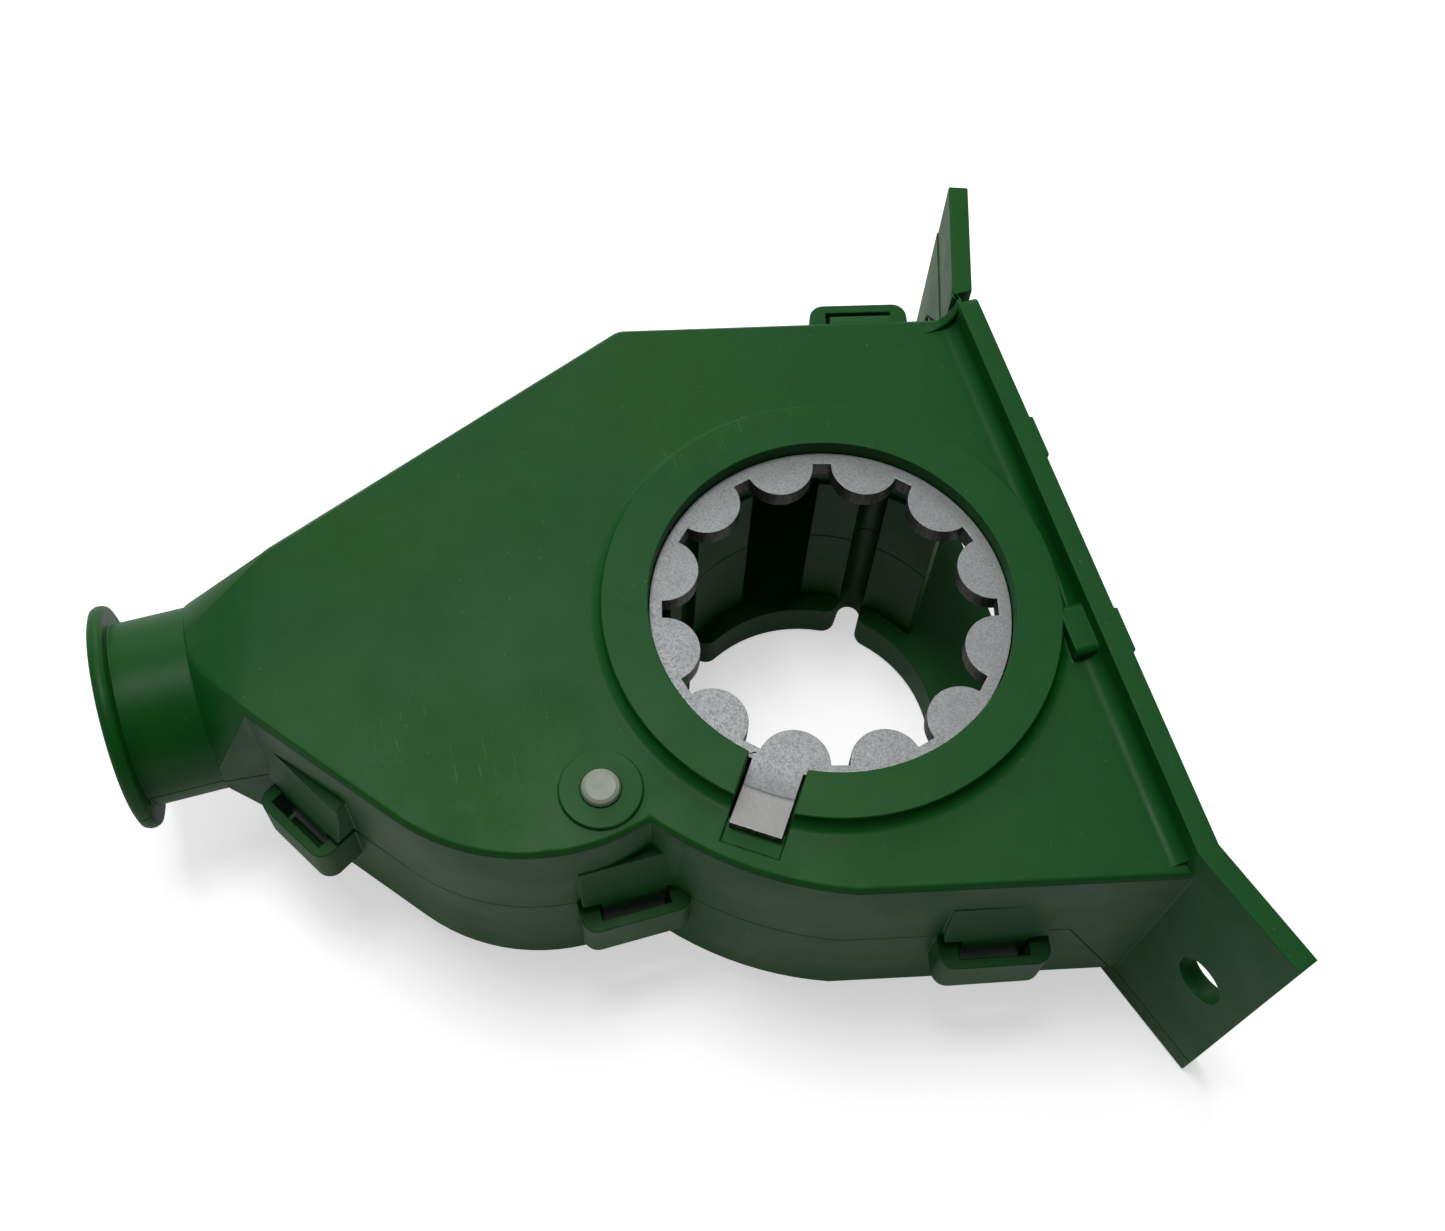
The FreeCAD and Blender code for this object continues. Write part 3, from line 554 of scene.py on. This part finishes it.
def bent_tab(material):
    """The tab's strip: straight out of the plate, up at its bend and flat on its seat."""
    top = plate_low + plate_thick
    low = [(tooth_centre, plate_low), (tab_bend, plate_low), (tab_foot, tab_rest), (tab_end, tab_rest)]
    high = [(tab_end, tab_rest + tab_thick), (tab_bend, top), (tooth_centre, top)]
    shape = bmesh.new()
    rows = []
    for side in (-tab_half, tab_half):
        rows.append([shape.verts.new((r, side, z)) for r, z in low + high])
    shape.faces.new(rows[0])
    shape.faces.new(reversed(rows[1]))
    for near in range(len(rows[0])):
        far = (near + 1) % len(rows[0])
        shape.faces.new((rows[0][far], rows[0][near], rows[1][near], rows[1][far]))
    bmesh.ops.recalc_face_normals(shape, faces=shape.faces)
    shape.transform(Matrix.Rotation(tab_angle, 4, "Z"))
    mesh = bpy.data.meshes.new("bent_tab")
    shape.to_mesh(mesh)
    shape.free()
    mesh.materials.append(material)
    return new_object("bent_tab", mesh)


def rosette(material):
    """The toothed plate with its tab, as one piece with eased edges."""
    plate = toothed_ring(material)
    tab = bent_tab(material)
    join = plate.modifiers.new("join", "BOOLEAN")
    join.operation = "UNION"
    join.solver = "EXACT"
    join.object = tab
    make_plain(plate)
    bpy.data.objects.remove(tab)
    ease_edges(plate, plate_ease)
    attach(plate, "housing")
    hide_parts("rosette_plate")


def wound_spring(material):
    """The gate's spring: a wire that follows its lower leg, three turns and its upper leg."""
    sizes = {
        "Steps": turn_steps * coil_turns, "Turns": coil_turns, "Coil radius": coil_radius,
        "Coil height": coil_height, "Lower leg": lower_leg, "Upper leg": upper_leg,
        "Wire radius": wire_radius, "Spring turn": spring_turn, "Coil low": coil_low,
    }
    t = Tree("spring_wire", sizes)
    given = t.given

    # The wire's points: one at the lower leg's end, those of the turns, and one at the upper leg's end
    row = t.add("GeometryNodeMeshLine", {"Count": t.math("ADD", given["Steps"], 3)})
    index = t.add("GeometryNodeInputIndex")
    along = t.math("MINIMUM", t.math("MAXIMUM", t.math("SUBTRACT", index, 1), 0.0), given["Steps"])
    share = t.math("DIVIDE", along, given["Steps"])
    turned_by = t.math("MULTIPLY", t.math("MULTIPLY", share, math.tau), given["Turns"])
    angle = t.math("SUBTRACT", math.pi, turned_by)
    x = t.math("MULTIPLY", given["Coil radius"], t.math("COSINE", angle))
    y = t.math("MULTIPLY", given["Coil radius"], t.math("SINE", angle))
    first = t.math("LESS_THAN", index, 0.5)
    last = t.math("GREATER_THAN", index, t.math("ADD", given["Steps"], 1.5))
    y = t.math("SUBTRACT", y, t.math("MULTIPLY", first, given["Lower leg"]))
    y = t.math("ADD", y, t.math("MULTIPLY", last, given["Upper leg"]))
    z = t.math("MULTIPLY", share, given["Coil height"])
    row = t.add("GeometryNodeSetPosition", {"Geometry": row, "Position": t.place(x, y, z)})
    wire = t.add("GeometryNodeMeshToCurve", {"Mesh": row})
    section = {"Resolution": wire_sides, "Radius": given["Wire radius"]}
    round_wire = t.add("GeometryNodeCurvePrimitiveCircle", section)
    coil = t.add("GeometryNodeCurveToMesh", {"Curve": wire, "Profile Curve": round_wire, "Fill Caps": True})
    at = t.place(pin_x, pin_y, given["Coil low"])
    turned = t.place(0.0, 0.0, given["Spring turn"])
    coil = t.add("GeometryNodeTransform", {"Geometry": coil, "Translation": at, "Rotation": turned})
    spring = t.piece(coil, material, "wound_spring")
    shade_smooth(spring.data)
    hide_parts("gate_spring")
    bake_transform(spring)


def dress(node, material):
    """Gives a node of the frame its finish."""
    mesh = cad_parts[node].data
    mesh.materials.clear()
    mesh.materials.append(material)


def white_table():
    """A wide pale table that keeps the shadow and reads white to the camera."""
    mesh = bpy.data.meshes.new("table_top")
    corners = [(-table_half, -table_half, 0.0), (table_half, -table_half, 0.0),
               (table_half, table_half, 0.0), (-table_half, table_half, 0.0)]
    mesh.from_pydata(corners, [], [(0, 1, 2, 3)])
    table = new_object("table_top", mesh)
    table.location.z = -table_gap
    material = bpy.data.materials.new("table_white")
    material.use_nodes = True
    nodes, links = material.node_tree.nodes, material.node_tree.links
    shader = nodes["Principled BSDF"]
    shader.inputs["Base Color"].default_value = (*table_white, 1.0)
    shader.inputs["Roughness"].default_value = table_rough
    shader.inputs["Specular IOR Level"].default_value = table_gloss
    path = nodes.new("ShaderNodeLightPath")
    mirrored = nodes.new("ShaderNodeMath")
    mirrored.operation = "MULTIPLY"
    mirrored.inputs[1].default_value = mirrored_glow
    links.new(path.outputs["Is Glossy Ray"], mirrored.inputs[0])
    glow = nodes.new("ShaderNodeMath")
    glow.operation = "MULTIPLY_ADD"
    glow.inputs[1].default_value = seen_glow
    links.new(path.outputs["Is Camera Ray"], glow.inputs[0])
    links.new(mirrored.outputs["Value"], glow.inputs[2])
    shader.inputs["Emission Color"].default_value = (*white, 1.0)
    links.new(glow.outputs["Value"], shader.inputs["Emission Strength"])
    mesh.materials.append(material)


def room_light():
    """A soft room, paler on the window's side, that the camera sees as white."""
    world = bpy.data.worlds.new("pale_room")
    bpy.context.scene.world = world
    world.use_nodes = True
    nodes, links = world.node_tree.nodes, world.node_tree.links
    nodes.clear()
    path = nodes.new("ShaderNodeLightPath")
    way = nodes.new("ShaderNodeTexCoord")
    split = nodes.new("ShaderNodeSeparateXYZ")
    links.new(way.outputs["Generated"], split.inputs["Vector"])
    side = nodes.new("ShaderNodeMapRange")
    side.interpolation_type = "SMOOTHSTEP"
    side.inputs["From Min"].default_value = dim_side
    side.inputs["From Max"].default_value = window_side
    side.inputs["To Min"].default_value = dim_light
    side.inputs["To Max"].default_value = window_light
    links.new(split.outputs["X"], side.inputs["Value"])
    soft = nodes.new("ShaderNodeBackground")
    soft.inputs["Color"].default_value = (*room_tint, 1.0)
    links.new(side.outputs["Result"], soft.inputs["Strength"])
    seen = nodes.new("ShaderNodeBackground")
    seen.inputs["Color"].default_value = (*white, 1.0)
    mix = nodes.new("ShaderNodeMixShader")
    out = nodes.new("ShaderNodeOutputWorld")
    links.new(path.outputs["Is Camera Ray"], mix.inputs["Fac"])
    links.new(soft.outputs["Background"], mix.inputs[1])
    links.new(seen.outputs["Background"], mix.inputs[2])
    links.new(mix.outputs["Shader"], out.inputs["Surface"])


def soft_lamp(name, place, size, power):
    """A round lamp that points at the middle of the object."""
    data = bpy.data.lights.new(name, "AREA")
    data.shape = "DISK"
    data.size = size
    data.energy = power
    lamp = new_object(name, data)
    middle = (cad_low + cad_high) / 2
    lamp.location = place
    lamp.rotation_euler = (middle - place).to_track_quat("-Z", "Y").to_euler()


def photo_camera():
    """The camera at the photograph's place and angle."""
    data = bpy.data.cameras.new("photo_camera")
    data.lens = camera_lens
    data.sensor_width = sensor_width
    data.clip_start = camera_near
    camera = new_object("photo_camera", data)
    upright = (camera_aim - camera_place).to_track_quat("-Z", "Y").to_matrix()
    rolled = upright @ Matrix.Rotation(camera_roll, 3, "Z")
    camera.location = camera_place
    camera.rotation_euler = rolled.to_euler()
    bpy.context.scene.camera = camera


green = moulded_green()
eased_copy("front_housing", "front_shell", housing_ease, green, "housing")
eased_copy("rear_housing", "rear_shell", housing_ease, green, "housing")
rosette(speckled_steel())
pale = pale_plastic()
dress("gate_pin", pale)
eased_copy("feed_gate", "swing_gate", gate_ease, pale, "gate")
wound_spring(spring_wire_steel())

white_table()
room_light()
soft_lamp("window_lamp", window_place, window_size, window_power)
soft_lamp("ceiling_lamp", ceiling_place, ceiling_size, ceiling_power)
photo_camera()
bpy.context.scene.view_settings.view_transform = "Standard"
